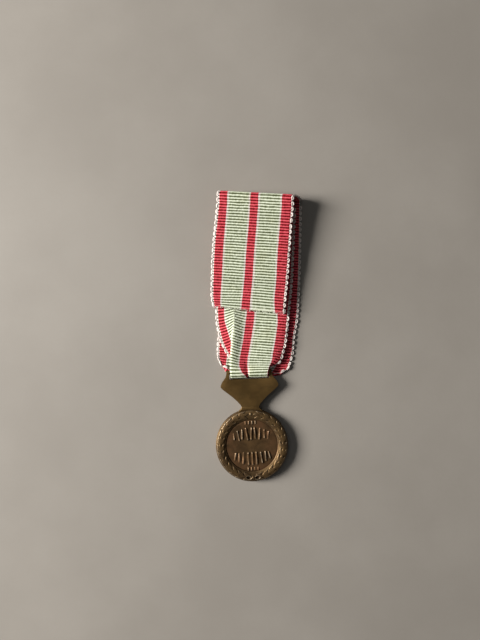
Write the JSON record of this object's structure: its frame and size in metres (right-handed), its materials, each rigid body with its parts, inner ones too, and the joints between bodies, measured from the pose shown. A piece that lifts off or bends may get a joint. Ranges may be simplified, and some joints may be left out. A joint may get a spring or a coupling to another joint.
{
  "type": "miniature service medal",
  "caption": "Small bronze disc medal with a laurel rim and slotted suspension plate, hung on a folded striped grosgrain ribbon with a free top tail.",
  "frame": {"origin": "middle of the footprint, on the surface that the medal lies on", "axes": "+Z out of the reverse face (up, as it lies on its obverse), +Y from the disc towards the top of the ribbon, +X to the right of the reverse"},
  "size_m": [0.0188, 0.0562, 0.004],
  "materials": {
    "aged_bronze": "dark aged bronze, satin, lighter on worn high spots",
    "plate_bronze": "smooth satin olive-brown bronze",
    "braze": "satin brazed joint",
    "ribbon_cloth": "ribbed grosgrain, pale green ground with three crimson stripes and white edges",
    "thread": "cotton thread"
  },
  "bodies": {
    "ribbon": {"ribbon_front": "ribbon_cloth", "ribbon_slot_loop": "ribbon_cloth", "ribbon_back_return": "ribbon_cloth", "ribbon_top_fold": "ribbon_cloth", "tacking_stitches": "thread"},
    "medal": {"medal_disc": "aged_bronze", "suspension_plate": "plate_bronze", "braze_fillet": "braze"},
    "tail": {"ribbon_tail": "ribbon_cloth"}
  },
  "joints": [
    {"name": "medal_swing", "type": "hinge", "parent": "ribbon", "child": "medal", "pos_m": [-0.00243, -0.00686, 0.00095], "axis": [-1, 0, 0], "range_deg": [-110, 110]},
    {"name": "tail_lift", "type": "hinge", "parent": "ribbon", "child": "tail", "pos_m": [0.00031, 0.02684, 0.00385], "axis": [-0.9954, 0.0958, 0], "range_deg": [0, 100]}
  ]
}
